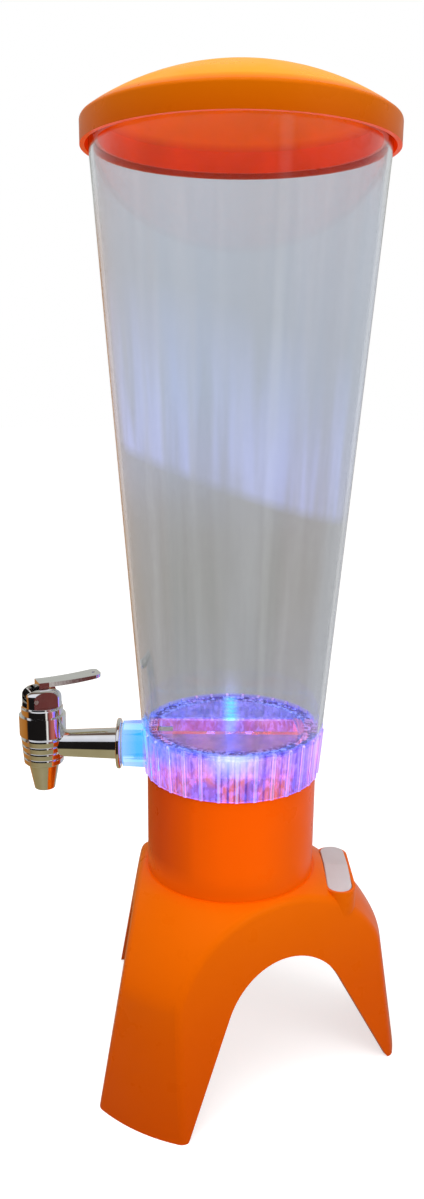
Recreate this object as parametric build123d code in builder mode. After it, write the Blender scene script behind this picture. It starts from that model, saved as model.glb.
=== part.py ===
"""Beer tower: tripod base with a lamp, tapered container, lever tap and lid.

Millimetres, +Z up. The origin is on the tower's axis, on the table. One leg
points along +X and the tap points along -X, over the arch between two legs.
"""
import os
from math import cos, radians, sin, tan

from build123d import *

# ---------------------------------------------------------------- clearances
seat_gap = 0.3  # between pieces that rest on each other and come apart
running_gap = 0.07  # round a pin or rod that turns or slides in its hole
press_gap = 0.02  # round a pin that is fixed in its hole
screw_gap = 0.1  # round a screw's shank

# ------------------------------------------------------------ base: outer form
leg_azimuths = (0, 120, 240)
side_azimuths = (60, 180, 300)
shell_wall = 2.8
foot_radius = 100.5
knee_inset_length = 11.4  # from the foot's radius in to the knee's
side_distance = 71.7  # from the axis to a side face, on the table
side_lean = 9.65  # degrees that a side face leans in
crease_fillet = 6.0
knee_fillet = 26.0

arch_height = 80.0
arch_half_width = 67.0  # on the table
arch_crown_radius = 41.5
arch_flank_lean = 27.6  # degrees
foot_tip_fillet = 5.5
foot_tip_depth = 1.2  # how far below the table the rounding would end

knee_drop_height = 7.5  # from the arch's crown down to the knee
shoulder_rise_height = 32.7  # from the arch's crown up to the shoulder
shoulder_mid_height = 18.4  # from the arch's crown up to the slope's middle
shoulder_mid_length = 18.4  # from the knee in to the slope's middle
shoulder_flat_width = 1.6  # round the neck

neck_radius = 48.0
neck_height = 58.9
neck_wall = 2.8

# ------------------------------------------------------------ base: lamp deck
deck_depth = 22.6  # from the neck's rim down to the deck
deck_wall = 3.0
lens_radius = 20.0
lens_flange_width = 1.6
lens_flange_thickness = 1.6
lens_height = 6.0
lens_wall = 1.8
board_edge_width = 2.5  # outside the screws
board_thickness = 1.6
board_boss_radius = 2.6
board_boss_height = 6.4
led_radius = 2.5
led_height = 5.2
led_flange_radius = 2.9
led_flange_thickness = 1.0
led_ring_radius = 12.0
led_count = 6

# ------------------------------------------------- base: cover and batteries
cover_rise_height = 4.0  # from the arch's crown up to the cover
cover_thickness = 2.5
cover_gap = 0.4
cover_screw_inset_length = 15.1  # from the knee in to the screws
cover_boss_radius = 3.6
screw_radius = 1.25
screw_length = 7.5
screw_head_radius = 2.8
screw_head_height = 1.8
cell_length = 50.5
cell_radius = 7.15
cell_nub_radius = 2.6
cell_nub_length = 1.0
cell_pitch_length = 15.0
cell_count = 3
contact_thickness = 0.5
contact_width = 11.0
contact_bow_length = 4.0  # how far the springs bow towards the cells
well_wall = 1.8
well_end_length = 4.8  # for the contacts at each end of the cells
well_side_gap = 0.8
door_thickness = 2.0
door_lap_width = 2.5
door_screw_length = 2.2  # from the door's end out to its screw

# ---------------------------------------------------------------- base: rocker
rocker_offset_length = 14.5  # from the neck out to the rocker's middle
rocker_length = 50.0
rocker_width = 14.0
rocker_end_gap = 0.8
rocker_side_gap = 0.35
rocker_wall = 1.8
rocker_rim_depth = 5.7  # from the shoulder down to the tub's rim
rocker_pivot_depth = 2.4  # from the rim down to the pivot
rocker_bottom_height = 1.6  # from the pivot down to the cap's underside
rocker_ridge_height = 5.7  # from the pivot up to the roof's ridge
rocker_roof = 6.5  # degrees that each half of the roof falls
rocker_rest_tilt = 3.0  # degrees, with the half at -Y pressed
rocker_fillet = 0.6
stub_radius = 1.5
stub_length = 1.3
rocker_tub_depth = 7.5
rocker_tub_floor_thickness = 2.0
rocker_tub_root_depth = 6.5  # from the tub's floor down to the foot of its wall
switch_width = 10.6
switch_length = 17.6
switch_depth = 11.0
switch_flange_thickness = 1.2
switch_lip_width = 1.4
switch_knob_radius = 1.6
switch_knob_height = 0.9

# ------------------------------------------------------------ container: wall
tube_height = 333.6
tube_slope = 0.0776  # gain in radius for each millimetre of height
tube_wall = 2.2
tube_overhang_width = 0.9  # how far the skirt stands out from the neck
skirt_wall = 2.5
rib_count = 32
rib_width = 1.7
rib_thickness = 0.9  # how far a rib stands out
rib_height = 27.1
rib_first_azimuth = 2.0

# ----------------------------------------------------------- container: floor
floor_height = 26.1  # from the skirt's lower edge to the floor's top
floor_thickness = 2.6
spigot_gap = 0.8
spigot_wall = 2.6
spigot_depth = 19.1  # below the neck's rim
trough_width = 22.0
trough_length = 36.0  # from the axis to the trough's blind end
trough_depth = 11.2  # below the tap's stem
trough_wall = 2.2
trough_end_wall = 3.0  # round the tap's shank

# ------------------------------------------------------------------------ tap
stem_height = 13.9  # above the skirt's lower edge
stem_length = 45.7  # from the boss to the valve's axis
boss_length = 12.7
boss_tip_radius = 12.9
boss_root_radius = 13.5
shank_radius = 7.5
shank_tail_length = 6.4  # beyond the nut
shank_hole_gap = 0.2
stem_root_radius = 8.9
stem_neck_radius = 7.7
flow_radius = 4.5
washer_thickness = 1.2
washer_radius = 11.6
flange_radius = 14.3
flange_thickness = 2.4
nut_radius = 10.0
nut_length = 8.0
nut_flat_distance = 9.2  # from the axis to each flat

valve_radius = 13.1
valve_height = 17.7  # from the stem's axis up to the bonnet
valve_shoulder_height = 6.2  # from the stem's axis up to the end of the rings
ring_top_radius = 12.3
ring_bottom_radius = 11.1
ring_drop_height = 11.2  # from the stem's axis down to the lowest ring
ring_count = 4
ring_pitch_length = 3.9
ring_groove_depth = 0.6
nozzle_top_radius = 8.65
nozzle_tip_radius = 5.8
nozzle_drop_height = 26.8  # from the stem's axis down to the tip
nozzle_bore_radius = 4.4
chamber_radius = 8.4
seat_drop_height = 5.8  # from the stem's axis down to the valve's seat

bonnet_ring_radius = 11.7
bonnet_ring_height = 4.6
bonnet_gap = 0.1  # between its skirt and the chamber
bonnet_skirt_depth = 6.5
bonnet_bore_radius = 6.2
bonnet_bore_depth = 2.0  # from the valve's top down to the spring's seat
hub_radius = 11.25
hub_waist_radius = 10.3
hub_waist_height = 1.0
hub_height = 11.2
hub_fillet = 5.0
hub_slot_height = 1.5  # from the hub's foot up to the slot's floor
hub_flat_distance = 9.0  # from the axis to the flat on each side

lever_azimuth = 25.0  # direction of the lever from the valve's axis
lever_width = 10.0
lever_tip_width = 12.4
lever_tip_fillet = 3.6
lever_side_gap = 0.3
pivot_offset_length = 5.5  # from the valve's axis to the lever's pin
pivot_height = 3.9  # above the slot's floor
pivot_eye_radius = 3.1
lever_pin_radius = 1.25
lever_neck_back_length = 2.5
lever_neck_front_length = 3.2
lever_rise_height = 3.7  # from the hub's top to the lever's
lever_root_thickness = 2.8
lever_tip_thickness = 1.9
lever_length = 34.0  # from the valve's axis
lever_tip_height = 1.4  # how far the tip turns up
lever_hole_radius = 0.9
lever_hole_inset_length = 3.4
lever_lift_angle = 30.0  # degrees from shut to fully open

rod_radius = 2.0
rod_foot_height = 2.6  # above the valve's seat
rod_collar_radius = 6.4
rod_collar_height = 1.6
blade_height = 2.5  # above the pivot
blade_depth = 3.7  # below the pivot
blade_thickness = 3.4
blade_gap = 0.9
fork_back_length = 3.5  # from the valve's axis to the back of the fork
plunger_pin_radius = 1.0
plunger_pin_gap = 0.35
seal_radius = 7.2
seal_height = 5.0
spring_radius = 4.4
spring_wire_radius = 0.45
spring_turns = 4.5

# ------------------------------------------------------------------------ lid
lid_side_gap = 1.1  # between the skirt and the container
lid_skirt_wall = 2.3
lid_skirt_depth = 9.0  # below the container's rim
lid_rim_height = 2.5  # above the container's rim
lid_rim_fillet = 2.2
lid_ledge_width = 5.2  # from the rim in to the dome
lid_ledge_height = 3.5
lid_dome_height = 20.5
lid_wall = 2.4
lid_lip_gap = 1.2  # between the lip and the container
lid_lip_wall = 2.0
lid_lip_depth = 7.0  # below the container's rim

# ------------------------------------------------------------- derived places
knee_radius = foot_radius - knee_inset_length
knee_z = arch_height - knee_drop_height
shoulder_z = arch_height + shoulder_rise_height
shoulder_mid_radius = knee_radius - shoulder_mid_length
shoulder_mid_z = arch_height + shoulder_mid_height
shoulder_flat_radius = neck_radius + shoulder_flat_width
neck_top = shoulder_z + neck_height
neck_bore_radius = neck_radius - neck_wall

deck_z = neck_top - deck_depth
deck_bottom = deck_z - deck_wall
lens_flange_radius = lens_radius + lens_flange_width
board_screw_radius = lens_flange_radius + board_boss_radius + seat_gap
board_radius = board_screw_radius + board_edge_width
board_top = deck_bottom - board_boss_height

cover_z = arch_height + cover_rise_height
cover_top = cover_z + cover_thickness
cover_screw_radius = knee_radius - cover_screw_inset_length
cell_z = cover_z + door_thickness + cell_radius + seat_gap
well_length = cell_length + 2 * well_end_length
well_width = (cell_count - 1) * cell_pitch_length + 2 * cell_radius + 2 * well_side_gap
well_top = cell_z + cell_radius + well_side_gap
door_screw_x = well_length / 2 + door_lap_width + door_screw_length

rocker_x = neck_radius + rocker_offset_length
rocker_rim_z = shoulder_z - rocker_rim_depth
rocker_pivot_z = rocker_rim_z - rocker_pivot_depth
rocker_tub_z = rocker_rim_z - rocker_tub_depth

skirt_end = neck_top + seat_gap
tube_top = skirt_end + tube_height
tube_foot_radius = neck_radius + tube_overhang_width
skirt_inner_radius = tube_foot_radius - skirt_wall
rib_top = skirt_end + rib_height
floor_top = skirt_end + floor_height
floor_bottom = floor_top - floor_thickness
spigot_radius = neck_bore_radius - spigot_gap
spigot_end = neck_top - spigot_depth

stem_z = skirt_end + stem_height
boss_face_x = -tube_foot_radius - boss_length
tap_x = boss_face_x - stem_length
trough_bottom = stem_z - trough_depth
trough_end = skirt_inner_radius - seat_gap
washer_inner_x = -trough_end + trough_end_wall
nut_x = washer_inner_x + washer_thickness
shank_end_x = nut_x + nut_length + shank_tail_length
washer_outer_x = boss_face_x - washer_thickness
flange_x = washer_outer_x - flange_thickness

valve_top = stem_z + valve_height
valve_shoulder_z = stem_z + valve_shoulder_height
ring_bottom_z = stem_z - ring_drop_height
nozzle_tip_z = stem_z - nozzle_drop_height
seat_z = stem_z - seat_drop_height
seal_bottom = seat_z + seat_gap
bonnet_skirt_radius = chamber_radius - bonnet_gap
bonnet_ring_top = valve_top + bonnet_ring_height
spring_seat_z = valve_top - bonnet_bore_depth
hub_top = bonnet_ring_top + hub_height
hub_slot_z = bonnet_ring_top + hub_slot_height
hub_slot_width = lever_width + 2 * lever_side_gap
pivot_z = hub_slot_z + pivot_height
lever_top = hub_top + lever_rise_height
lever_pin_length = 2 * hub_flat_distance
plunger_lift = pivot_offset_length * tan(radians(lever_lift_angle))
rod_foot_z = seat_z + rod_foot_height
rod_collar_z = seal_bottom + seal_height
spring_foot_z = rod_collar_z + rod_collar_height
blade_top = pivot_z + blade_height
blade_foot = pivot_z - blade_depth

lid_skirt_radius = tube_foot_radius + tube_slope * tube_height + lid_side_gap
lid_radius = lid_skirt_radius + lid_skirt_wall
lid_lip_radius = tube_foot_radius + tube_slope * tube_height - tube_wall - lid_lip_gap
lid_rim_top = tube_top + lid_rim_height
lid_dome_radius = lid_radius - lid_ledge_width
lid_dome_foot = lid_rim_top + lid_ledge_height

stem_axis = Axis((0, 0, stem_z), (1, 0, 0))
valve_axis = Axis((tap_x, 0, 0), (0, 0, 1))
valve_plane = Plane(origin=(tap_x, 0, 0), x_dir=(1, 0, 0), z_dir=(0, -1, 0))
lever_cos = cos(radians(lever_azimuth))
lever_sin = sin(radians(lever_azimuth))
lever_plane = Plane(
    origin=(tap_x, 0, 0), x_dir=(lever_cos, lever_sin, 0), z_dir=(lever_sin, -lever_cos, 0)
)


def tube_radius(z):
    """Outside radius of the container's wall at a height."""
    return tube_foot_radius + tube_slope * (z - skirt_end)


def side_plane(azimuth, inset):
    """Plane of one side face of the tripod, moved in by an inset."""
    lean = radians(side_lean)
    turn = radians(azimuth)
    normal = Vector(cos(turn) * cos(lean), sin(turn) * cos(lean), sin(lean))
    foot = Vector(side_distance * cos(turn), side_distance * sin(turn), 0)
    return Plane(origin=foot - normal * inset, z_dir=normal)


def tripod_section(inset):
    """Half section of the tripod before its sides are cut, pulled in by an inset."""
    reach = 2 * foot_radius
    below = -reach / 4
    flare = (foot_radius - knee_radius) / knee_z
    with BuildSketch(Plane.XZ) as section:
        with BuildLine():
            knee = (knee_radius, knee_z)
            flat = (shoulder_flat_radius, shoulder_z)
            foot = (foot_radius - flare * below, below)
            slope = ThreePointArc(flat, (shoulder_mid_radius, shoulder_mid_z), knee)
            Polyline(slope @ 1, foot, (-reach, below), (-reach, shoulder_z), slope @ 0)
        make_face()
        fillet(section.vertices().sort_by_distance(knee)[0], radius=knee_fillet)
        if inset:
            offset(amount=-inset, mode=Mode.REPLACE)
        with Locations((reach / 2, reach / 2)):
            Rectangle(reach, reach, mode=Mode.INTERSECT)
    # the outline is drawn afresh, so that its edges meet without slack
    edges = []
    for edge in section.sketch.face().outer_wire().order_edges():
        if edge.geom_type == GeomType.LINE:
            edges.append(Edge.make_line(edge @ 0, edge @ 1))
        else:
            edges.append(Edge.make_three_point_arc(edge @ 0, edge @ 0.5, edge @ 1))
    return Face(Wire(edges))


def tripod_body(inset):
    """Solid tripod up to the shoulder, pulled in all round by an inset."""
    reach = 2 * foot_radius
    with BuildPart() as body:
        revolve(tripod_section(inset), axis=Axis.Z)
        for azimuth in side_azimuths:
            with BuildSketch(side_plane(azimuth, inset)):
                Rectangle(2 * reach, 2 * reach)
            extrude(amount=reach, mode=Mode.SUBTRACT)
    return body


def is_side_face(face):
    """True for the leaning flat faces between the legs."""
    return 0.5 < face.normal_at().Z / sin(radians(side_lean)) < 1.5


def arch_tool():
    """Arch-shaped cutter through the side face that crosses +X."""
    lean = radians(arch_flank_lean)
    crown_z = arch_height - arch_crown_radius
    spring_y = arch_crown_radius * cos(lean)
    spring_z = crown_z + arch_crown_radius * sin(lean)
    foot_y = arch_half_width + foot_tip_depth * tan(lean)
    below = -arch_crown_radius / 4
    beyond = 2 * side_distance
    with BuildPart() as tool:
        with BuildSketch(Plane.YZ) as arch:
            with BuildLine():
                crown = ThreePointArc((-spring_y, spring_z), (0, arch_height), (spring_y, spring_z))
                Polyline(
                    crown @ 1,
                    (foot_y, -foot_tip_depth),
                    (beyond, -foot_tip_depth),
                    (beyond, below),
                    (-beyond, below),
                    (-beyond, -foot_tip_depth),
                    (-foot_y, -foot_tip_depth),
                    crown @ 0,
                )
            make_face()
            for end in (-foot_y, foot_y):
                fillet(arch.vertices().sort_by_distance((end, 0))[0], radius=foot_tip_fillet)
        extrude(amount=foot_radius)
    return tool


def write(piece, label):
    """Label a finished piece and write its STEP file."""
    piece.part.label = label
    export_step(piece.part, f"parts/{label}.step")


os.makedirs("parts", exist_ok=True)

# ------------------------------------------------------------------ base shell
tripod = tripod_body(0)
tripod_hollow = tripod_body(shell_wall)
arch = arch_tool()

with BuildPart() as cover_bosses:
    with BuildSketch(Plane.XY.offset(cover_top)):
        with PolarLocations(cover_screw_radius, len(leg_azimuths)):
            Circle(cover_boss_radius)
    extrude(amount=shoulder_z - cover_top)
    add(tripod.part, mode=Mode.INTERSECT)

with BuildPart() as base_shell:
    add(tripod.part)
    creases = base_shell.faces().filter_by(is_side_face).edges()
    fillet(creases.filter_by(lambda edge: edge.center().Z > knee_z / 4), radius=crease_fillet)
    add(tripod_hollow.part, mode=Mode.SUBTRACT)
    for azimuth in side_azimuths:
        add(arch.part.rotate(Axis.Z, azimuth), mode=Mode.SUBTRACT)
    add(cover_bosses.part)
    # neck with its bore and the lamp deck
    with BuildSketch(Plane.XY.offset(shoulder_z - shell_wall)):
        Circle(neck_radius)
    extrude(amount=neck_top - shoulder_z + shell_wall)
    with BuildSketch(Plane.XY.offset(deck_z)):
        Circle(neck_bore_radius)
    extrude(amount=neck_top - deck_z, mode=Mode.SUBTRACT)
    with BuildSketch(Plane.XY.offset(deck_bottom)):
        Circle(neck_bore_radius)
    extrude(amount=-(deck_bottom - shoulder_z + 2 * shell_wall), mode=Mode.SUBTRACT)
    with BuildSketch(Plane.XY.offset(deck_bottom)):
        Circle(lens_radius + seat_gap)
    extrude(amount=deck_wall, mode=Mode.SUBTRACT)
    with BuildSketch(Plane.XY.offset(deck_bottom)):
        with PolarLocations(board_screw_radius, 3, start_angle=30):
            Circle(board_boss_radius)
    extrude(amount=-board_boss_height)
    with BuildSketch(Plane.XY.offset(board_top)):
        with PolarLocations(board_screw_radius, 3, start_angle=30):
            Circle(screw_radius + screw_gap)
    extrude(amount=board_boss_height, mode=Mode.SUBTRACT)
    # tub for the rocker, with a hole for the switch
    with BuildSketch(Plane.XY.offset(rocker_tub_z - rocker_tub_root_depth)):
        with Locations((rocker_x, 0)):
            SlotOverall(
                rocker_length + 2 * (rocker_end_gap + rocker_wall),
                rocker_width + 2 * (rocker_side_gap + rocker_wall),
                rotation=90,
            )
    extrude(amount=rocker_tub_depth + rocker_tub_root_depth)
    with BuildSketch(Plane.XY.offset(rocker_tub_z)):
        with Locations((rocker_x, 0)):
            SlotOverall(
                rocker_length + 2 * rocker_end_gap, rocker_width + 2 * rocker_side_gap, rotation=90
            )
    extrude(amount=shoulder_z - rocker_tub_z, mode=Mode.SUBTRACT)
    with BuildSketch(Plane.XY.offset(rocker_tub_z - rocker_tub_floor_thickness)):
        with Locations((rocker_x, 0)):
            Rectangle(switch_width + 2 * seat_gap, switch_length + 2 * seat_gap)
    extrude(amount=rocker_tub_floor_thickness, mode=Mode.SUBTRACT)
    with BuildSketch(Plane.XY.offset(rocker_tub_z - rocker_tub_root_depth)):
        with Locations((rocker_x, 0)):
            Rectangle(rocker_width, rocker_length * 0.6)
    extrude(amount=rocker_tub_root_depth - rocker_tub_floor_thickness, mode=Mode.SUBTRACT)
    with BuildSketch(Plane.YZ.offset(rocker_x)):
        with Locations((0, rocker_pivot_z)):
            Circle(stub_radius + running_gap)
    extrude(amount=rocker_width / 2 + stub_length + seat_gap, both=True, mode=Mode.SUBTRACT)
    # pilot holes for the cover's screws
    with BuildSketch(Plane.XY.offset(cover_top)):
        with PolarLocations(cover_screw_radius, len(leg_azimuths)):
            Circle(screw_radius + screw_gap)
    extrude(amount=screw_length - cover_thickness + seat_gap, mode=Mode.SUBTRACT)
write(base_shell, "base_shell")

# ------------------------------------------------------------------------ lamp
with BuildPart() as led_lens:
    flange_z = deck_bottom - lens_flange_thickness
    cap_z = deck_z + lens_height
    lens_inside = lens_radius - lens_wall
    with BuildSketch(Plane.XZ):
        with BuildLine():
            outer = ThreePointArc(
                (0, cap_z), (lens_radius * 0.72, deck_z + lens_height * 0.6), (lens_radius, deck_z)
            )
            inner = ThreePointArc(
                (0, cap_z - lens_wall),
                (lens_inside * 0.72, deck_z + lens_height * 0.6 - lens_wall),
                (lens_inside, deck_z - lens_wall),
            )
            Polyline(
                outer @ 1,
                (lens_radius, deck_bottom),
                (lens_flange_radius, deck_bottom),
                (lens_flange_radius, flange_z),
                (lens_inside, flange_z),
                inner @ 1,
            )
            Line(inner @ 0, outer @ 0)
        make_face()
    revolve(axis=Axis.Z)
write(led_lens, "led_lens")

with BuildPart() as led_board:
    with BuildSketch(Plane.XY.offset(board_top)):
        Circle(board_radius)
        with PolarLocations(board_screw_radius, 3, start_angle=30):
            Circle(screw_radius + screw_gap, mode=Mode.SUBTRACT)
    extrude(amount=-board_thickness)
write(led_board, "led_board")

with BuildPart() as leds:
    with BuildSketch(Plane.XY.offset(board_top)):
        Circle(led_flange_radius)
        with PolarLocations(led_ring_radius, led_count):
            Circle(led_flange_radius)
    extrude(amount=led_flange_thickness)
    with BuildSketch(Plane.XY.offset(board_top + led_flange_thickness)):
        Circle(led_radius)
        with PolarLocations(led_ring_radius, led_count):
            Circle(led_radius)
    extrude(amount=led_height - led_flange_thickness)
    fillet(leds.faces().group_by(Axis.Z)[-1].edges(), radius=led_radius * 0.8)
write(leds, "leds")


def screws(head_z, length, places):
    """Screws driven up from below, the underside of each head at head_z."""
    with BuildPart() as group:
        with BuildSketch(Plane.XY.offset(head_z)):
            with Locations(*places):
                Circle(screw_head_radius)
        extrude(amount=-screw_head_height)
        fillet(group.edges().group_by(Axis.Z)[0], radius=screw_head_height / 2)
        with BuildSketch(Plane.XY.offset(head_z)):
            with Locations(*places):
                Circle(screw_radius)
        extrude(amount=length)
    return group


board_places = PolarLocations(board_screw_radius, 3, start_angle=30)
board_screw_length = board_thickness + board_boss_height - seat_gap
board_screws = screws(board_top - board_thickness, board_screw_length, board_places)
write(board_screws, "board_screws")

# --------------------------------------------------------- cover and batteries
with BuildPart() as base_cover:
    lean_in = tan(radians(side_lean)) * cover_top
    cover_inradius = side_distance - lean_in - shell_wall - cover_gap
    with BuildSketch(Plane.XY.offset(cover_z)):
        RegularPolygon(cover_inradius, 3, major_radius=False)
        Circle(cover_screw_radius + cover_boss_radius, mode=Mode.INTERSECT)
        with PolarLocations(cover_screw_radius, len(leg_azimuths)):
            Circle(screw_radius + 3 * screw_gap, mode=Mode.SUBTRACT)
    extrude(amount=cover_thickness)
    with BuildSketch(Plane.XY.offset(cover_z)):
        RectangleRounded(well_length + 2 * well_wall, well_width + 2 * well_wall, 2 * well_wall)
    extrude(amount=well_top + well_wall - cover_z)
    with BuildSketch(Plane.XY.offset(cover_z)):
        RectangleRounded(well_length, well_width, well_wall)
    extrude(amount=well_top - cover_z, mode=Mode.SUBTRACT)
    # rebate for the door, and the pad that takes its screw
    with BuildSketch(Plane.XY.offset(cover_z + door_thickness)):
        with Locations((door_screw_x, 0)):
            Circle(cover_boss_radius)
    extrude(amount=screw_length)
    with BuildSketch(Plane.XY.offset(cover_z)):
        RectangleRounded(well_length + 2 * door_lap_width, well_width - 2 * door_lap_width, well_wall)
        with Locations((door_screw_x, 0)):
            Circle(cover_boss_radius + seat_gap)
    extrude(amount=door_thickness + screw_gap, mode=Mode.SUBTRACT)
    with BuildSketch(Plane.XY.offset(cover_z)):
        with Locations((door_screw_x, 0)):
            Circle(screw_radius + screw_gap)
    extrude(amount=screw_length, mode=Mode.SUBTRACT)
write(base_cover, "base_cover")

cover_places = PolarLocations(cover_screw_radius, len(leg_azimuths))
cover_screws = screws(cover_z, screw_length, cover_places)
write(cover_screws, "cover_screws")

with BuildPart() as battery_door:
    with BuildSketch(Plane.XY.offset(cover_z)):
        RectangleRounded(
            well_length + 2 * door_lap_width - 2 * seat_gap,
            well_width - 2 * door_lap_width - 2 * seat_gap,
            well_wall,
        )
        with Locations((door_screw_x, 0)):
            Circle(cover_boss_radius)
        with Locations((door_screw_x, 0)):
            Circle(screw_radius + 2 * screw_gap, mode=Mode.SUBTRACT)
    extrude(amount=door_thickness)
write(battery_door, "battery_door")

door_screw = screws(cover_z, screw_length - seat_gap, [Location((door_screw_x, 0))])
write(door_screw, "door_screw")

cell_places = [
    (-((cell_count - 1) / 2 - index) * cell_pitch_length, cell_z) for index in range(cell_count)
]
cell_start = -cell_length / 2
with BuildPart() as batteries:
    with BuildSketch(Plane.YZ.offset(cell_start)):
        with Locations(*cell_places):
            Circle(cell_radius)
    extrude(amount=cell_length - cell_nub_length)
    with BuildSketch(Plane.YZ.offset(cell_start + cell_length - cell_nub_length)):
        with Locations(*cell_places):
            Circle(cell_nub_radius)
    extrude(amount=cell_nub_length)
write(batteries, "batteries")

with BuildPart() as battery_springs:
    spring_face = -well_length / 2 + contact_thickness
    for y, z in cell_places:
        with BuildSketch(Plane.XZ.offset(-y)):
            with Locations((spring_face - contact_thickness / 2, z)):
                Rectangle(contact_thickness, contact_width)
            with BuildLine():
                bow = ThreePointArc(
                    (spring_face, z - contact_width / 2),
                    (spring_face + contact_bow_length, z),
                    (spring_face, z + contact_width / 2),
                )
                hollow = ThreePointArc(
                    (spring_face, z - contact_width / 2 + 2 * contact_thickness),
                    (spring_face + contact_bow_length - contact_thickness, z),
                    (spring_face, z + contact_width / 2 - 2 * contact_thickness),
                )
                Line(bow @ 0, hollow @ 0)
                Line(bow @ 1, hollow @ 1)
            make_face()
        extrude(amount=contact_width / 2, both=True)
write(battery_springs, "battery_springs")

with BuildPart() as battery_plates:
    with BuildSketch(Plane.YZ.offset(well_length / 2)):
        with Locations(*cell_places):
            Rectangle(contact_width, contact_width)
    extrude(amount=-contact_thickness)
    with BuildSketch(Plane.YZ.offset(well_length / 2 - contact_thickness)):
        with Locations(*cell_places):
            Circle(cell_nub_radius)
    extrude(amount=-(well_end_length - contact_thickness - seat_gap))
write(battery_plates, "battery_plates")

# ---------------------------------------------------------------------- switch
with BuildPart() as switch_body:
    with BuildSketch(Plane.XY.offset(rocker_tub_z)):
        with Locations((rocker_x, 0)):
            Rectangle(switch_width, switch_length)
    extrude(amount=-switch_depth)
    with BuildSketch(Plane.XY.offset(rocker_tub_z)):
        with Locations((rocker_x, 0)):
            Rectangle(switch_width + 2 * switch_lip_width, switch_length + 2 * switch_lip_width)
    extrude(amount=switch_flange_thickness)
    with BuildSketch(Plane.XY.offset(rocker_tub_z + switch_flange_thickness)):
        with Locations((rocker_x, 0)):
            Circle(switch_knob_radius)
    extrude(amount=switch_knob_height)
write(switch_body, "switch_body")

with BuildPart() as switch_rocker:
    rocker_level = Plane(origin=(rocker_x, 0, rocker_pivot_z), z_dir=(0, 0, 1))
    rocker_plane = rocker_level.rotated((rocker_rest_tilt, 0, 0))
    with BuildSketch(rocker_plane.offset(-rocker_bottom_height)):
        SlotOverall(rocker_length, rocker_width, rotation=90)
    extrude(amount=rocker_bottom_height + rocker_ridge_height)
    for side in (-1, 1):
        roof = rocker_plane.offset(rocker_ridge_height).rotated((-side * rocker_roof, 0, 0))
        split(bisect_by=roof, keep=Keep.BOTTOM)
    ridge_z = rocker_pivot_z + rocker_ridge_height - rocker_fillet / 2
    roof_edges = switch_rocker.faces().sort_by(Axis.Z)[-2:].edges()
    fillet(roof_edges.filter_by(lambda edge: edge.center().Z < ridge_z), radius=rocker_fillet)
    with BuildSketch(Plane.YZ.offset(rocker_x)):
        with Locations((0, rocker_pivot_z)):
            Circle(stub_radius)
    extrude(amount=rocker_width / 2 + stub_length, both=True)
write(switch_rocker, "switch_rocker")

# ------------------------------------------------------------------- container
with BuildPart() as container_tube:
    ledge_radius = tube_radius(floor_bottom) - tube_wall
    with BuildSketch(Plane.XZ) as wall:
        with BuildLine():
            Polyline(
                (skirt_inner_radius, skirt_end),
                (tube_foot_radius, skirt_end),
                (tube_radius(tube_top), tube_top),
                (tube_radius(tube_top) - tube_wall, tube_top),
                (ledge_radius, floor_bottom),
                (skirt_inner_radius, floor_bottom),
                close=True,
            )
        make_face()
    revolve(axis=Axis.Z)
    # tap boss
    with BuildSketch(Plane.XZ):
        with BuildLine():
            Polyline(
                (boss_face_x, stem_z),
                (boss_face_x, stem_z + boss_tip_radius),
                (-tube_foot_radius, stem_z + boss_root_radius),
                (-skirt_inner_radius, stem_z + boss_root_radius),
                (-skirt_inner_radius, stem_z),
                close=True,
            )
        make_face()
    revolve(axis=stem_axis)
    # ribs round the foot
    rib_foot = tube_radius(skirt_end)
    rib_head = tube_radius(rib_top)
    with BuildSketch(Plane.XZ) as rib_side:
        with BuildLine():
            Polyline(
                (rib_foot - rib_thickness, skirt_end),
                (rib_foot + rib_thickness * 0.6, skirt_end),
                (rib_foot + rib_thickness, skirt_end + rib_thickness),
                (rib_head + rib_thickness, rib_top - rib_thickness),
                (rib_head - rib_thickness, rib_top + rib_thickness),
                close=True,
            )
        make_face()
    rib = extrude(amount=rib_width / 2, both=True, mode=Mode.PRIVATE)
    for index in range(rib_count):
        turn = rib_first_azimuth + index * 360 / rib_count
        add(rib.rotate(Axis.Z, turn))
    # clear the inside, and the hole for the tap's shank
    with BuildSketch(Plane.XY.offset(skirt_end)):
        Circle(skirt_inner_radius)
    extrude(amount=floor_bottom - skirt_end, mode=Mode.SUBTRACT)
    with BuildSketch(Plane.XZ):
        with BuildLine():
            Polyline(
                (0, floor_bottom),
                (ledge_radius, floor_bottom),
                (tube_radius(tube_top) - tube_wall, tube_top),
                (0, tube_top),
                close=True,
            )
        make_face()
    revolve(axis=Axis.Z, mode=Mode.SUBTRACT)
    with BuildSketch(Plane.YZ.offset(boss_face_x)):
        with Locations((0, stem_z)):
            Circle(shank_radius + shank_hole_gap)
    extrude(amount=-boss_face_x - skirt_inner_radius / 2, mode=Mode.SUBTRACT)
write(container_tube, "container_tube")

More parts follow.
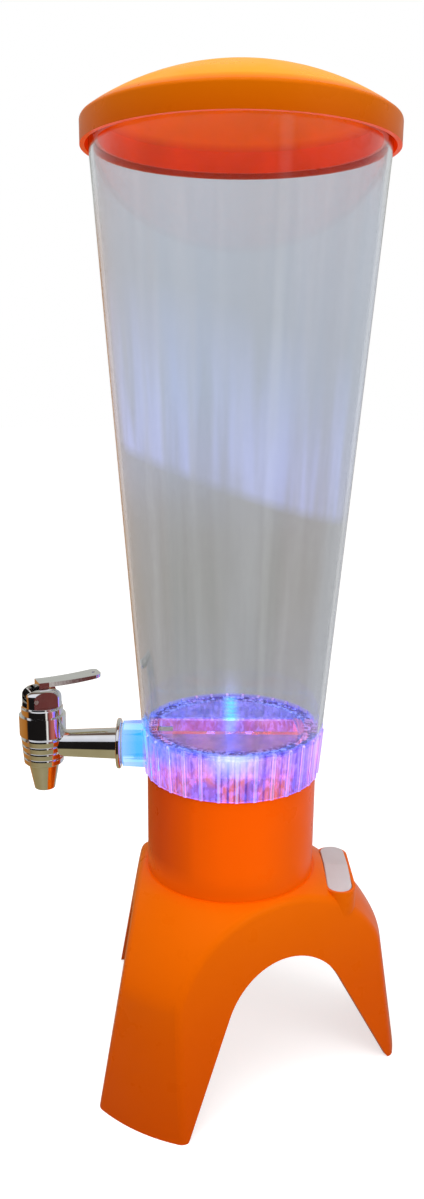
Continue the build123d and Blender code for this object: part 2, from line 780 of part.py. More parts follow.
with BuildPart() as container_floor:
    with BuildSketch(Plane.XY.offset(floor_bottom)):
        Circle(ledge_radius - seat_gap)
    extrude(amount=floor_thickness)
    with BuildSketch(Plane.XY.offset(spigot_end)):
        Circle(spigot_radius)
    extrude(amount=floor_bottom - spigot_end)
    with BuildSketch(Plane.XY.offset(spigot_end)):
        Circle(spigot_radius - spigot_wall)
    extrude(amount=floor_bottom - spigot_end, mode=Mode.SUBTRACT)
    with BuildSketch(Plane.XY.offset(trough_bottom - trough_wall)):
        with Locations(((trough_length + trough_wall - trough_end) / 2, 0)):
            Rectangle(trough_length + trough_wall + trough_end, trough_width + 2 * trough_wall)
        Circle(trough_end, mode=Mode.INTERSECT)
    extrude(amount=floor_bottom - trough_bottom + trough_wall)
    with BuildSketch(Plane.XY.offset(trough_bottom)):
        with Locations(((trough_length - trough_end + trough_end_wall) / 2, 0)):
            Rectangle(trough_length + trough_end - trough_end_wall, trough_width)
    extrude(amount=floor_top - trough_bottom, mode=Mode.SUBTRACT)
    with BuildSketch(Plane.YZ.offset(-trough_end)):
        with Locations((0, stem_z)):
            Circle(shank_radius + shank_hole_gap)
    extrude(amount=2 * trough_end_wall, mode=Mode.SUBTRACT)
write(container_floor, "container_floor")


# ------------------------------------------------------------------------- tap
def ring_on_stem(start_x, end_x, radius):
    """Round piece on the shank between two places along the stem."""
    with BuildPart() as ring:
        with BuildSketch(Plane.YZ.offset(start_x)):
            with Locations((0, stem_z)):
                Circle(radius)
                Circle(shank_radius + running_gap, mode=Mode.SUBTRACT)
        extrude(amount=end_x - start_x)
    return ring


tap_washer_outer = ring_on_stem(washer_outer_x, boss_face_x, washer_radius)
write(tap_washer_outer, "tap_washer_outer")

tap_washer_inner = ring_on_stem(washer_inner_x, nut_x, nut_radius)
write(tap_washer_inner, "tap_washer_inner")

with BuildPart() as tap_flange:
    add(ring_on_stem(flange_x, washer_outer_x, flange_radius).part)
    rims = tap_flange.edges().filter_by(GeomType.CIRCLE).sort_by(SortBy.RADIUS)[-2:]
    fillet(rims, radius=flange_thickness * 0.4)
write(tap_flange, "tap_flange")

with BuildPart() as tap_nut:
    with BuildSketch(Plane.YZ.offset(nut_x)):
        with Locations((0, stem_z)):
            Circle(nut_radius)
            RegularPolygon(nut_flat_distance, 6, major_radius=False, mode=Mode.INTERSECT)
            Circle(shank_radius + running_gap, mode=Mode.SUBTRACT)
    extrude(amount=nut_length)
write(tap_nut, "tap_nut")

with BuildPart() as tap_body:
    # valve body with its rings and nozzle
    with BuildSketch(valve_plane):
        with BuildLine():
            outline = [(0, nozzle_tip_z), (nozzle_tip_radius, nozzle_tip_z)]
            outline += [(nozzle_top_radius, ring_bottom_z - ring_groove_depth)]
            ring_slope = (ring_top_radius - ring_bottom_radius) / (ring_count * ring_pitch_length)
            for ring in range(ring_count):
                low = ring_bottom_z + ring * ring_pitch_length
                radius = ring_bottom_radius + ring * ring_pitch_length * ring_slope
                outline += [(radius - ring_groove_depth, low), (radius, low + ring_groove_depth)]
                outline += [(radius + ring_slope * ring_pitch_length, low + ring_pitch_length - ring_groove_depth)]
                outline += [(radius - ring_groove_depth, low + ring_pitch_length)]
            outline += [(valve_radius, valve_shoulder_z), (valve_radius, valve_top)]
            outline += [(0, valve_top)]
            Polyline(*outline, close=True)
        make_face()
    revolve(axis=valve_axis)
    # tapered stem and the shank through the wall
    with BuildSketch(Plane.XZ):
        with BuildLine():
            Polyline(
                (tap_x, stem_z),
                (tap_x, stem_z + stem_neck_radius),
                (tap_x + valve_radius, stem_z + stem_neck_radius),
                (flange_x, stem_z + stem_root_radius),
                (flange_x, stem_z + shank_radius),
                (shank_end_x, stem_z + shank_radius),
                (shank_end_x, stem_z),
                close=True,
            )
        make_face()
    revolve(axis=stem_axis)
    # chamber, nozzle bore and flow bore
    with BuildSketch(Plane.XY.offset(seat_z)):
        with Locations((tap_x, 0)):
            Circle(chamber_radius)
    extrude(amount=valve_top - seat_z, mode=Mode.SUBTRACT)
    with BuildSketch(Plane.XY.offset(nozzle_tip_z)):
        with Locations((tap_x, 0)):
            Circle(nozzle_bore_radius)
    extrude(amount=seat_z - nozzle_tip_z, mode=Mode.SUBTRACT)
    with BuildSketch(Plane.YZ.offset(tap_x)):
        with Locations((0, stem_z)):
            Circle(flow_radius)
    extrude(amount=shank_end_x - tap_x, mode=Mode.SUBTRACT)
write(tap_body, "tap_body")

with BuildPart() as tap_bonnet:
    with BuildSketch(valve_plane):
        with BuildLine():
            Polyline(
                (0, valve_top - bonnet_skirt_depth),
                (bonnet_skirt_radius, valve_top - bonnet_skirt_depth),
                (bonnet_skirt_radius, valve_top),
                (bonnet_ring_radius, valve_top),
                (bonnet_ring_radius, bonnet_ring_top - hub_waist_height / 2),
                (bonnet_ring_radius - hub_waist_height / 2, bonnet_ring_top),
                (hub_waist_radius, bonnet_ring_top),
                (hub_waist_radius, bonnet_ring_top + hub_waist_height / 2),
                (hub_radius, bonnet_ring_top + hub_waist_height),
                (hub_radius, hub_top),
                (0, hub_top),
                close=True,
            )
        make_face()
    revolve(axis=valve_axis)
    crown = tap_bonnet.edges().filter_by(GeomType.CIRCLE).sort_by(Axis.Z)[-1]
    fillet(crown, radius=hub_fillet)
    with BuildSketch(Plane.XY.offset(valve_top - bonnet_skirt_depth)):
        with Locations((tap_x, 0)):
            Circle(bonnet_bore_radius)
    extrude(amount=spring_seat_z - valve_top + bonnet_skirt_depth, mode=Mode.SUBTRACT)
    with BuildSketch(Plane.XY.offset(spring_seat_z)):
        with Locations((tap_x, 0)):
            Circle(rod_radius + running_gap)
    extrude(amount=hub_top - spring_seat_z, mode=Mode.SUBTRACT)
    with BuildSketch(Plane.XY.offset(hub_slot_z)):
        with Locations(Location((tap_x, 0), lever_azimuth)):
            Rectangle(3 * hub_radius, hub_slot_width)
    extrude(amount=hub_top - hub_slot_z, mode=Mode.SUBTRACT)
    # a round-topped flat on each side, where the lever's pin ends
    for side in (-1, 1):
        with BuildSketch(Plane.XY.offset(bonnet_ring_top + hub_waist_height)):
            with Locations(Location((tap_x, 0), lever_azimuth)):
                with Locations((0, side * (hub_flat_distance + hub_radius / 2))):
                    Rectangle(3 * hub_radius, hub_radius)
        extrude(amount=hub_height, mode=Mode.SUBTRACT)
    with BuildSketch(lever_plane):
        with Locations((-pivot_offset_length, pivot_z)):
            Circle(lever_pin_radius + press_gap)
    extrude(amount=hub_radius, both=True, mode=Mode.SUBTRACT)
write(tap_bonnet, "tap_bonnet")

with BuildPart() as lever_pin:
    with BuildSketch(lever_plane):
        with Locations((-pivot_offset_length, pivot_z)):
            Circle(lever_pin_radius)
    extrude(amount=lever_pin_length / 2, both=True)
write(lever_pin, "lever_pin")

with BuildPart() as tap_plunger:
    with BuildSketch(valve_plane):
        with BuildLine():
            Polyline(
                (0, rod_foot_z),
                (rod_radius, rod_foot_z),
                (rod_radius, rod_collar_z),
                (rod_collar_radius, rod_collar_z),
                (rod_collar_radius, spring_foot_z),
                (rod_radius, spring_foot_z),
                (rod_radius, blade_top),
                (0, blade_top),
                close=True,
            )
        make_face()
    revolve(axis=valve_axis)
    for side in (-1, 1):
        with BuildSketch(Plane.XY.offset(blade_foot)):
            with Locations(Location((tap_x, 0), lever_azimuth)):
                with Locations((0, side * (blade_thickness / 2 + rod_radius))):
                    Rectangle(3 * rod_radius, 2 * rod_radius)
        extrude(amount=blade_top - blade_foot, mode=Mode.SUBTRACT)
    with BuildSketch(lever_plane):
        with Locations((0, pivot_z)):
            Circle(plunger_pin_radius + press_gap)
    extrude(amount=2 * rod_radius, both=True, mode=Mode.SUBTRACT)
write(tap_plunger, "tap_plunger")

with BuildPart() as plunger_pin:
    with BuildSketch(lever_plane):
        with Locations((0, pivot_z)):
            Circle(plunger_pin_radius)
    extrude(amount=lever_width / 2 - 2 * lever_side_gap, both=True)
write(plunger_pin, "plunger_pin")

with BuildPart() as tap_seal:
    with BuildSketch(Plane.XY.offset(seal_bottom)):
        with Locations((tap_x, 0)):
            Circle(seal_radius)
    extrude(amount=seal_height)
    fillet(tap_seal.edges().sort_by(Axis.Z)[0], radius=seal_height / 4)
    with BuildSketch(Plane.XY.offset(rod_foot_z - press_gap)):
        with Locations((tap_x, 0)):
            Circle(rod_radius + press_gap)
    extrude(amount=seal_height, mode=Mode.SUBTRACT)
write(tap_seal, "tap_seal")

with BuildPart() as tap_spring:
    spring_length = spring_seat_z - spring_foot_z - 2 * spring_wire_radius - 2 * press_gap
    spring_start = spring_foot_z + spring_wire_radius + press_gap
    with BuildLine() as coil:
        Helix(
            pitch=spring_length / spring_turns,
            height=spring_length,
            radius=spring_radius,
            center=(tap_x, 0, spring_start),
        )
    with BuildSketch(Plane(origin=coil.line @ 0, z_dir=coil.line % 0)):
        Circle(spring_wire_radius)
    sweep(is_frenet=True)
write(tap_spring, "tap_spring")

with BuildPart() as tap_lever:
    tip_top = lever_top + lever_tip_height
    # side view of the paddle and its neck
    with BuildSketch(lever_plane):
        with BuildLine():
            top = Spline(
                (-lever_neck_back_length, lever_top),
                (lever_length * 0.5, lever_top + lever_tip_height * 0.1),
                (lever_length, tip_top),
            )
            under = Spline(
                (lever_length, tip_top - lever_tip_thickness),
                (lever_length * 0.5, lever_top - lever_root_thickness * 0.85),
                (lever_neck_front_length, lever_top - lever_root_thickness),
            )
            Line(top @ 1, under @ 0)
            Polyline(
                under @ 1,
                (lever_neck_front_length, pivot_z),
                (-lever_neck_back_length, pivot_z),
                top @ 0,
            )
        make_face()
    extrude(amount=lever_width, both=True)
    # plan view: straight sides spread towards a round-cornered tip
    with BuildSketch(Plane.XY.offset(pivot_z)) as plan:
        with BuildLine(Location((tap_x, 0), lever_azimuth)):
            Polyline(
                (-lever_neck_back_length, -lever_width / 2),
                (lever_neck_front_length, -lever_width / 2),
                (lever_length, -lever_tip_width / 2),
                (lever_length, lever_tip_width / 2),
                (lever_neck_front_length, lever_width / 2),
                (-lever_neck_back_length, lever_width / 2),
                close=True,
            )
        make_face()
    extrude(amount=lever_top + 2 * lever_tip_height - pivot_z, mode=Mode.INTERSECT)
    corners = tap_lever.edges().filter_by(Axis.Z).sort_by_distance(
        (tap_x + lever_length * lever_cos, lever_length * lever_sin, lever_top)
    )[:2]
    fillet(corners, radius=lever_tip_fillet)
    # foot with the pin's eye and the slots that lift the plunger
    with BuildSketch(lever_plane):
        with Locations((-pivot_offset_length, pivot_z)):
            Circle(pivot_eye_radius)
        with Locations(((lever_neck_front_length - pivot_offset_length) / 2, pivot_z)):
            Rectangle(lever_neck_front_length + pivot_offset_length, 2 * pivot_eye_radius)
    extrude(amount=lever_width / 2, both=True)
    with BuildSketch(lever_plane):
        with Locations((-pivot_offset_length, pivot_z)):
            Circle(lever_pin_radius + running_gap)
    extrude(amount=lever_width, both=True, mode=Mode.SUBTRACT)
    slide = pivot_offset_length / cos(radians(lever_lift_angle)) - pivot_offset_length
    slot_radius = plunger_pin_radius + plunger_pin_gap
    with BuildSketch(lever_plane):
        with Locations((slide / 2, pivot_z)):
            SlotOverall(slide + 2 * slot_radius, 2 * slot_radius)
    extrude(amount=lever_width, both=True, mode=Mode.SUBTRACT)
    fork_top = blade_top + plunger_lift / 2
    fork_length = 2 * lever_neck_front_length + fork_back_length
    with BuildSketch(lever_plane):
        with Locations((fork_length / 2 - fork_back_length, pivot_z)):
            Rectangle(fork_length, 2 * (fork_top - pivot_z))
    extrude(amount=blade_thickness / 2 + blade_gap, both=True, mode=Mode.SUBTRACT)
    with BuildSketch(Plane.XY.offset(lever_top - 2 * lever_root_thickness)):
        with Locations(Location((tap_x, 0), lever_azimuth)):
            with Locations((lever_length - lever_hole_inset_length, 0)):
                Circle(lever_hole_radius)
    extrude(amount=4 * lever_root_thickness, mode=Mode.SUBTRACT)
write(tap_lever, "tap_lever")

# ------------------------------------------------------------------------- lid
with BuildPart() as lid:
    lid_seat = tube_top + seat_gap
    dome_top = lid_dome_foot + lid_dome_height
    lip_inside = lid_lip_radius - lid_lip_wall
    with BuildSketch(Plane.XZ) as section:
        with BuildLine():
            dome = RadiusArc(
                (0, dome_top),
                (lid_dome_radius, lid_dome_foot),
                (lid_dome_radius**2 + lid_dome_height**2) / (2 * lid_dome_height),
            )
            ceiling = RadiusArc(
                (0, dome_top - lid_wall),
                (lip_inside, lid_dome_foot - lid_wall),
                (lip_inside**2 + lid_dome_height**2) / (2 * lid_dome_height),
            )
            Polyline(
                dome @ 1,
                (lid_radius, lid_rim_top),
                (lid_radius, tube_top - lid_skirt_depth),
                (lid_skirt_radius, tube_top - lid_skirt_depth),
                (lid_skirt_radius, lid_seat),
                (lid_lip_radius, lid_seat),
                (lid_lip_radius, tube_top - lid_lip_depth),
                (lip_inside, tube_top - lid_lip_depth),
                ceiling @ 1,
            )
            Line(ceiling @ 0, dome @ 0)
        make_face()
        rim = section.vertices().sort_by_distance((lid_radius, lid_rim_top))[0]
        fillet(rim, radius=lid_rim_fillet)
    revolve(axis=Axis.Z)
write(lid, "lid")
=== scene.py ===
"""Looks of the beer tower: materials, lamp glow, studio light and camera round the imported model."""

from math import cos, pi, radians, sin

import bpy
from mathutils import Matrix, Vector


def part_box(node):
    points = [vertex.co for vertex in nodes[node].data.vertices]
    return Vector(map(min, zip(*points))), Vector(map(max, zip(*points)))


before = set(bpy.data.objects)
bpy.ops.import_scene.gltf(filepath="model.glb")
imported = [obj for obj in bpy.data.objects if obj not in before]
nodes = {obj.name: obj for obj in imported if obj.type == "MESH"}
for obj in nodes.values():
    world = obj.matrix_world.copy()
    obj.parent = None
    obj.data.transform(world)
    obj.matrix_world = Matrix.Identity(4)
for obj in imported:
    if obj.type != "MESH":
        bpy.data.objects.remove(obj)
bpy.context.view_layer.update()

# ------------------------------------------------------------------ places
neck_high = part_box("base_shell")[1]
tube_low, tube_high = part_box("container_tube")
floor_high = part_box("container_floor")[1]
lid_low, lid_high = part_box("lid")
lens_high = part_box("led_lens")[1]
collar_z = tube_low.z  # where the container meets the neck
rib_top_z = collar_z + 0.0271
neck_foot_z = 0.118  # where the neck rises out of the shoulder
above_neck_z = 0.3  # over the neck and under the lid
rib_count = 32
rib_first = radians(2.0)

# ------------------------------------------------------------ glow strengths
collar_glow = 0.52
boss_glow = 0.66
sheen_glow = 0.17  # pale blue light on the wall
streak_glow = 0.16  # over the floor, at the back
neck_glow = 0.12
dome_glow = 0.13
sheen_edge_z = 0.335  # lower edge of the wall's blue light, on the axis
sheen_edge_slope = 0.33  # how fast that edge falls towards +X

# ------------------------------------------------------------------ camera
image_height = 1199  # pixels
focal_pixels = 970.2
principal_drop = 23.5  # pixels below the picture's centre
camera_place = Vector((-0.01547, -0.51829, 0.39284))
camera_pitch = radians(14.685)  # downwards
camera_turn = radians(0.404)  # from +Y, towards +X
camera_roll = radians(0.504)


def add_camera():
    """Camera at the place and angle the picture was taken from."""
    look = Vector((
        sin(camera_turn) * cos(camera_pitch), cos(camera_turn) * cos(camera_pitch), -sin(camera_pitch)
    ))
    level = Vector((cos(camera_turn), -sin(camera_turn), 0))
    over = level.cross(look)
    right = level * cos(camera_roll) + over * sin(camera_roll)
    up = over * cos(camera_roll) - level * sin(camera_roll)
    data = bpy.data.cameras.new("camera")
    data.sensor_fit = "VERTICAL"
    data.sensor_height = 36
    data.lens = focal_pixels * data.sensor_height / image_height
    data.shift_y = principal_drop / image_height
    data.clip_start = 0.01
    camera = bpy.data.objects.new("camera", data)
    camera.matrix_world = Matrix.Translation(camera_place) @ Matrix((right, up, -look)).transposed().to_4x4()
    bpy.context.scene.collection.objects.link(camera)
    bpy.context.scene.camera = camera


# --------------------------------------------------------------- materials
class Shader:
    """A material with one Principled shader and short calls for its nodes."""

    def __init__(self, name, **sockets):
        self.material = bpy.data.materials.new(name)
        self.material.use_nodes = True
        self.tree = self.material.node_tree
        self.surface = self.tree.nodes["Principled BSDF"]
        self.output = self.tree.nodes["Material Output"]
        for socket, value in sockets.items():
            self.surface.inputs[socket.replace("_", " ")].default_value = value
        self.place = self.add("ShaderNodeTexCoord").outputs["Object"]

    def add(self, kind, **settings):
        node = self.tree.nodes.new(kind)
        for key, value in settings.items():
            setattr(node, key, value)
        return node

    def link(self, source, target):
        self.tree.links.new(source, target)

    def math(self, operation, *values):
        node = self.add("ShaderNodeMath", operation=operation)
        for slot, value in zip(node.inputs, values):
            if isinstance(value, (int, float)):
                slot.default_value = value
            else:
                self.link(value, slot)
        return node.outputs[0]

    def times(self, first, second):
        return self.math("MULTIPLY", first, second)

    def distance(self, value):
        return self.math("ABSOLUTE", value)

    def axis(self, letter):
        split = self.add("ShaderNodeSeparateXYZ")
        self.link(self.place, split.inputs[0])
        return split.outputs[letter]

    def noise(self, scale, detail=3.0, stretch=(1, 1, 1), roughness=0.5):
        """Noise between 0 and 1, scale in features per metre, along the row's axes."""
        mapping = self.add("ShaderNodeMapping")
        mapping.inputs["Scale"].default_value = stretch
        self.link(self.place, mapping.inputs["Vector"])
        node = self.add("ShaderNodeTexNoise")
        node.inputs["Scale"].default_value = scale
        node.inputs["Detail"].default_value = detail
        node.inputs["Roughness"].default_value = roughness
        self.link(mapping.outputs[0], node.inputs["Vector"])
        return node.outputs["Fac"]

    def spread(self, value, low, high, to_low=0.0, to_high=1.0):
        node = self.add("ShaderNodeMapRange")
        self.link(value, node.inputs["Value"])
        for key, number in (("From Min", low), ("From Max", high), ("To Min", to_low), ("To Max", to_high)):
            node.inputs[key].default_value = number
        return node.outputs[0]

    def ramp(self, factor, *stops):
        """Colour ramp; each stop is (position, (r, g, b))."""
        node = self.add("ShaderNodeValToRGB")
        elements = node.color_ramp.elements
        while len(elements) < len(stops):
            elements.new(0.5)
        for element, (position, colour) in zip(elements, stops):
            element.position = position
            element.color = (*colour, 1)
        self.link(factor, node.inputs["Fac"])
        return node.outputs["Color"]

    def mix(self, factor, first, second, blend="MIX"):
        node = self.add("ShaderNodeMix", data_type="RGBA", blend_type=blend)
        for slot, value in ((node.inputs[0], factor), (node.inputs[6], first), (node.inputs[7], second)):
            if isinstance(value, (int, float)):
                slot.default_value = value
            elif isinstance(value, tuple):
                slot.default_value = (*value, 1)
            else:
                self.link(value, slot)
        return node.outputs[2]

    def colour(self, value):
        self.link(value, self.surface.inputs["Base Color"])

    def rough(self, value, low, high):
        self.link(self.spread(value, 0.3, 0.7, low, high), self.surface.inputs["Roughness"])

    def bump(self, height, distance, strength=1.0):
        node = self.add("ShaderNodeBump")
        node.inputs["Distance"].default_value = distance
        node.inputs["Strength"].default_value = strength
        self.link(height, node.inputs["Height"])
        self.link(node.outputs[0], self.surface.inputs["Normal"])


def orange_plastic(name, low_z, high_z, *heights):
    """Satin orange moulding with a faint grain; its colour runs through the heights' stops, and the neck has
    painted shade on the side of the tap.
    """
    shader = Shader(name, Specular_IOR_Level=0.14, Specular_Tint=(1.0, 0.50, 0.12, 1))
    base = shader.ramp(shader.spread(shader.axis("Z"), low_z, high_z), *heights)
    cloud = shader.noise(18, 2)
    base = shader.mix(shader.spread(cloud, 0.35, 0.7, 0.0, 0.15), base, (0.74, 0.11, 0.0))
    # painted shade: the neck is darker and redder on the side of the tap
    tap_side_shade = shader.spread(shader.axis("X"), -0.040, -0.020, 0.5, 0.0)
    over_foot = shader.spread(shader.axis("Z"), neck_foot_z, neck_foot_z + 0.010)
    tap_side_shade = shader.times(tap_side_shade, over_foot)
    under_top = shader.spread(shader.axis("Z"), above_neck_z, above_neck_z + 0.01, 1.0, 0.0)
    tap_side_shade = shader.times(tap_side_shade, under_top)
    base = shader.mix(tap_side_shade, base, (0.40, 0.012, 0.0))
    shader.colour(base)
    shader.rough(shader.noise(60, 4), 0.26, 0.36)
    shader.bump(shader.noise(2600, 2), 0.00004, 0.5)
    return shader


def orange_base():
    """The base's moulding: painted shade makes it darker towards the feet, painted light makes the neck
    brighter and redder, and a painted glow brightens the neck in front of the lamp.
    """
    shader = orange_plastic(
        "orange_base",
        0.0,
        neck_high.z,
        # painted shade down the legs and shoulder, painted light up the neck
        (0.0, (0.62, 0.074, 0.0)),
        (0.30, (0.70, 0.095, 0.0)),
        (0.55, (0.80, 0.130, 0.0)),
        (0.64, (0.86, 0.145, 0.0)),
        (0.67, (0.94, 0.120, 0.0)),
        (1.0, (1.0, 0.110, 0.0)),
    )
    x = shader.axis("X")
    # painted glow on the neck in front of the lamp
    neck_painted_glow = shader.times(
        shader.spread(x, -0.024, -0.006),
        shader.spread(shader.axis("Z"), neck_foot_z, neck_foot_z + 0.010, 0.0, neck_glow),
    )
    neck_painted_glow = shader.times(neck_painted_glow, shader.spread(x, 0.016, 0.032, 1.0, 0.0))
    shader.surface.inputs["Emission Color"].default_value = (1.0, 0.10, 0.0, 1)
    shader.link(neck_painted_glow, shader.surface.inputs["Emission Strength"])
    return shader.material


def orange_lid():
    """The lid's moulding, painted darker on its rim as shade and with a faint painted glow on its dome; its
    inside glows red with painted light that stands in for the light that comes through it.
    """
    shader = orange_plastic(
        "orange_lid",
        lid_low.z,
        lid_high.z,
        # painted shade darker on the rim, lighter on the dome
        (0.0, (0.60, 0.10, 0.0)),
        (0.35, (0.68, 0.15, 0.0)),
        (0.45, (0.98, 0.31, 0.0)),
        (1.0, (1.0, 0.36, 0.0)),
    )
    facing = shader.add("ShaderNodeSeparateXYZ")
    shader.link(shader.add("ShaderNodeNewGeometry").outputs["Normal"], facing.inputs[0])
    under = shader.spread(facing.outputs["Z"], -0.6, -0.2, 1.0, 0.0)
    outwards = shader.math(
        "ADD",
        shader.times(facing.outputs["X"], shader.axis("X")),
        shader.times(facing.outputs["Y"], shader.axis("Y")),
    )
    under = shader.math("MAXIMUM", under, shader.spread(outwards, -0.03, -0.01, 1.0, 0.0))
    shader.link(
        shader.mix(under, (1.0, 0.40, 0.0), (1.0, 0.022, 0.001)), shader.surface.inputs["Emission Color"]
    )
    # painted glow, uneven under the lid
    cloud = shader.spread(shader.noise(45, 2), 0.3, 0.7, 0.34, 0.52)
    dome = shader.spread(shader.axis("Z"), lid_low.z + 0.011, lid_low.z + 0.016, 0.0, dome_glow)
    level = shader.math("ADD", shader.times(under, cloud), dome)
    shader.link(level, shader.surface.inputs["Emission Strength"])
    return shader.material


def wall_tint_and_reflections(shader, z):
    """Grey at the foot of the wall, bluer towards its top, with upright bands painted as reflections, and
    streaks.
    """
    tint = shader.ramp(
        shader.spread(z, rib_top_z, tube_high.z),
        (0.0, (0.555, 0.565, 0.590)),
        (0.25, (0.560, 0.560, 0.545)),
        (0.38, (0.585, 0.585, 0.585)),
        (0.47, (0.620, 0.640, 0.700)),
        (0.60, (0.635, 0.675, 0.735)),
        (1.0, (0.705, 0.730, 0.770)),
    )
    # painted reflections in upright bands
    reflection_bands = shader.noise(30, 3, (1, 1, 0.015))
    tint = shader.mix(shader.spread(reflection_bands, 0.40, 0.62, 0.0, 0.55), tint, (0.66, 0.67, 0.69))
    streaks = shader.noise(130, 2, (1, 1, 0.008))
    return shader.mix(shader.spread(streaks, 0.45, 0.7, 0.0, 0.22), tint, (0.80, 0.81, 0.84))


def collar_colour(shader, x, y, z):
    """Colour of the painted glow that stands in for the lamp's light in the collar, its ribs and the tap's
    boss.
    """
    depth = shader.spread(z, collar_z, rib_top_z)
    patch = shader.noise(75, 2, (1, 1, 0.7))
    low = shader.mix(shader.spread(patch, 0.45, 0.56), (0.36, 0.16, 0.62), (0.95, 0.20, 0.04))
    high = shader.mix(shader.spread(patch, 0.40, 0.60), (0.36, 0.24, 0.85), (0.85, 0.36, 0.62))
    glow = shader.mix(shader.spread(depth, 0.30, 0.70), low, high)
    glow = shader.mix(shader.spread(depth, 0.86, 0.95), glow, (0.07, 0.12, 0.62))

    # ribs: painted shade as a dark line at each side, a painted highlight on the crest, painted shade
    # between some of them
    turn = shader.math("ARCTAN2", y, x)
    wave = shader.math("COSINE", shader.times(shader.math("SUBTRACT", turn, rib_first), rib_count))
    edge = shader.times(shader.spread(wave, 0.35, 0.62), shader.spread(wave, 0.66, 0.86, 1.0, 0.0))
    glow = shader.mix(shader.times(edge, 0.85), glow, (0.02, 0.01, 0.20))
    glow = shader.mix(shader.times(shader.spread(wave, 0.86, 0.96), 0.65), glow, (0.62, 0.58, 1.0))
    rib_gap_shade = shader.times(
        shader.spread(wave, -0.96, -0.86, 1.0, 0.0), shader.spread(shader.noise(38, 1), 0.42, 0.55)
    )
    glow = shader.mix(shader.times(rib_gap_shade, 0.8), glow, (0.03, 0.02, 0.28))

    # cyan by the tap, violet at both sides, white in front of the lamp
    near_tap = shader.times(shader.spread(x, -0.040, -0.022, 1.0, 0.0), shader.spread(depth, 0.50, 0.72))
    glow = shader.mix(shader.times(near_tap, 0.85), glow, (0.02, 0.36, 0.95))
    far_side = shader.times(shader.spread(shader.distance(x), 0.024, 0.044), 0.55)
    glow = shader.mix(far_side, glow, (0.20, 0.16, 0.62))
    front = shader.times(
        shader.spread(shader.distance(x), 0.004, 0.017, 1.0, 0.0), shader.spread(y, 0.0, -0.03)
    )
    front = shader.times(front, shader.spread(depth, 0.45, 0.9))
    return shader.mix(shader.times(front, 0.8), glow, (0.75, 1.0, 1.0))


def wall_sheen(shader, x, y, z):
    """Strength of the pale blue light on the wall's front and of the streak over the floor."""
    over_edge = shader.math(
        "ADD", shader.math("SUBTRACT", z, sheen_edge_z), shader.times(x, sheen_edge_slope)
    )
    sheen = shader.times(
        shader.spread(over_edge, -0.002, 0.004), shader.spread(over_edge, 0.012, 0.085, 1.0, 0.0)
    )
    sheen = shader.times(sheen, shader.spread(y, -0.012, -0.03))
    uneven = shader.noise(95, 2, (1, 1, 0.05))
    sheen = shader.times(sheen, shader.spread(uneven, 0.42, 0.60, 0.25, 1.0))
    streak = shader.times(
        shader.spread(y, 0.02, 0.04), shader.spread(shader.distance(x), 0.001, 0.009, 1.0, 0.0)
    )
    streak = shader.times(
        streak, shader.spread(z, rib_top_z + 0.001, rib_top_z + 0.016, streak_glow, 0.0)
    )
    return shader.math("ADD", shader.times(sheen, sheen_glow), shader.math("MAXIMUM", streak, 0.0))


def clear_wall():
    """Container wall: clear, greyer towards the foot, with painted reflections in upright bands, a painted
    pale blue sheen on its front, and painted blue and pink glow for the lamp light in the ribbed collar.
    """
    shader = Shader("clear_wall", Transmission_Weight=1.0, IOR=1.38, Roughness=0.02)
    x, y, z = (shader.axis(letter) for letter in "XYZ")
    in_collar = shader.spread(z, rib_top_z - 0.0005, rib_top_z + 0.001, 1.0, 0.0)
    # painted lamp light: the collar's clear plastic is tinted violet
    shader.colour(shader.mix(in_collar, wall_tint_and_reflections(shader, z), (0.36, 0.30, 0.62)))

    boss = shader.spread(x, -0.0505, -0.0475, 1.0, 0.0)
    boss_blue = shader.ramp(
        shader.spread(x, -0.062, -0.046), (0.0, (0.16, 0.42, 0.80)), (0.55, (0.0, 0.36, 1.0))
    )
    glow = shader.mix(boss, collar_colour(shader, x, y, z), boss_blue)
    lit = shader.times(in_collar, shader.spread(boss, 0.0, 1.0, collar_glow, boss_glow))
    glow = shader.mix(in_collar, (0.28, 0.36, 1.0), glow)
    shader.link(glow, shader.surface.inputs["Emission Color"])
    level = shader.math("ADD", lit, wall_sheen(shader, x, y, z))
    shader.link(level, shader.surface.inputs["Emission Strength"])
    shader.bump(shader.noise(60, 2, (1, 1, 0.1)), 0.0002, 0.2)
    return shader.material


